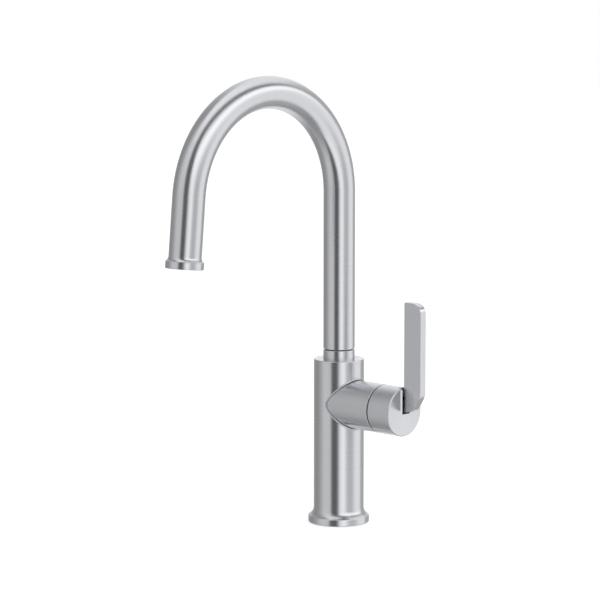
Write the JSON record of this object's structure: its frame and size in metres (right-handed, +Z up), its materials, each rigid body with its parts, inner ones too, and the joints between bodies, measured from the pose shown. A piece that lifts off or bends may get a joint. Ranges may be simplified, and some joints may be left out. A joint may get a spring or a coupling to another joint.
{
  "type": "gooseneck bar faucet",
  "caption": "Single-hole gooseneck bar faucet: round column on a flared foot, swivelling arched spout and a side valve with an upright blade lever.",
  "frame": {"origin": "centre of the foot on the deck, where the mounting stud enters", "axes": "+Z up along the column; -Y towards the outlet with the spout forward; +X along the side valve, towards the lever"},
  "size_m": [0.1117, 0.2059, 0.3566],
  "materials": {
    "satin_nickel": "satin, brushed round the turned parts",
    "brass": "machined",
    "copper": "drawn copper tube",
    "rubber": "matt black",
    "white_plastic": "moulded",
    "grey_plastic": "moulded",
    "ceramic": "lapped ceramic",
    "bright_steel": "ground"
  },
  "bodies": {
    "body": {"body_shell": "satin_nickel", "base_block": "brass", "base_gasket": "rubber", "hot_inlet_tube": "copper", "cold_inlet_tube": "copper", "waterway_core": "brass", "valve_sleeve": "satin_nickel", "cartridge_seals": "rubber", "cartridge_housing": "white_plastic", "fixed_ceramic_disc": "ceramic", "cartridge_cap": "grey_plastic", "cartridge_retaining_nut": "brass", "hub_glide_ring": "grey_plastic", "swivel_post": "brass", "neck_collar": "satin_nickel", "spout_thrust_washer": "grey_plastic", "spout_bearing_lower": "white_plastic", "spout_bearing_upper": "white_plastic", "spout_o_ring_lower": "rubber", "spout_o_ring_upper": "rubber", "spout_retaining_ring": "bright_steel"},
    "spout": {"spout_tube": "satin_nickel", "spout_foot": "brass", "outlet_collar": "satin_nickel", "aerator_washer": "rubber", "flow_regulator": "white_plastic", "aerator_housing": "grey_plastic", "aerator_screen": "grey_plastic"},
    "hub": {"handle_hub": "satin_nickel", "cartridge_rotor": "white_plastic", "stem_pivot_pin": "bright_steel", "lever_pivot_pin": "bright_steel", "hub_set_screw": "bright_steel"},
    "lever": {"lever_blade": "satin_nickel"},
    "stem": {"cartridge_stem": "bright_steel"},
    "disc": {"disc_carrier": "white_plastic", "moving_ceramic_disc": "ceramic"}
  },
  "joints": [
    {"name": "spout_swivel", "type": "hinge", "parent": "body", "child": "spout", "pos_m": [0, 0, 0.1388], "axis": [0, 0, 1], "continuous": true},
    {"name": "temperature_turn", "type": "hinge", "parent": "body", "child": "hub", "pos_m": [0.048, 0, 0.0964], "axis": [1, 0, 0], "range_deg": [-45, 45]},
    {"name": "flow_tilt", "type": "hinge", "parent": "hub", "child": "lever", "pos_m": [0.0615, 0, 0.0964], "axis": [0, 1, 0], "range_deg": [0, 20]},
    {"name": "stem_rock", "type": "hinge", "parent": "hub", "child": "stem", "pos_m": [0.0455, 0, 0.0964], "axis": [0, 1, 0], "range_deg": [-20, 0]},
    {"name": "disc_slide", "type": "slide", "parent": "hub", "child": "disc", "axis": [0, 0, -1], "range_m": [0, 0.00313]}
  ],
  "couplings": [
    {"joint": "stem_rock", "follows": "flow_tilt", "ratio": -1},
    {"joint": "disc_slide", "follows": "flow_tilt", "m_per_rad": 0.008954}
  ]
}
